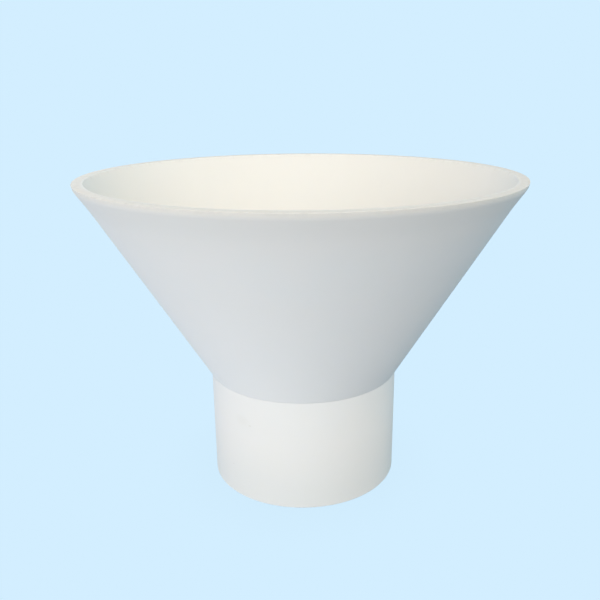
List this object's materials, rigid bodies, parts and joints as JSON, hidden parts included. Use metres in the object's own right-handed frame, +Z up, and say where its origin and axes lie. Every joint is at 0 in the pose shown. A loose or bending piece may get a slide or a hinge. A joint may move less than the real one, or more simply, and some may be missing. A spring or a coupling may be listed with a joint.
{
  "type": "buchner funnel",
  "caption": "Wide conical Buchner funnel in white plastic on a short collar, with a lift-out perforated filter plate, a pull-apart bowl and a drain cone with a short spout.",
  "frame": {"origin": "centre of the flat lower edge of the collar, which the funnel stands on", "axes": "+Z up along the funnel's axis; X and Y are free because the funnel is round"},
  "size_m": [0.2, 0.2, 0.1458],
  "materials": {
    "white_plastic": "waxy matte",
    "seal_rubber": "matte"
  },
  "bodies": {
    "base": {"collar": "white_plastic", "drain_gasket": "seal_rubber"},
    "drain": {"drain_cone": "white_plastic"},
    "reservoir": {"bowl": "white_plastic", "bowl_o_ring": "seal_rubber", "plate_gasket": "seal_rubber"},
    "plate": {"filter_plate": "white_plastic"}
  },
  "joints": [
    {"name": "drain_lift", "type": "slide", "parent": "base", "child": "drain", "axis": [0, 0, 1], "range_m": [0, 0.05]},
    {"name": "bowl_lift", "type": "slide", "parent": "drain", "child": "reservoir", "axis": [0, 0, 1], "range_m": [0, 0.025]},
    {"name": "plate_lift", "type": "slide", "parent": "reservoir", "child": "plate", "axis": [0, 0, 1], "range_m": [0, 0.105]}
  ]
}
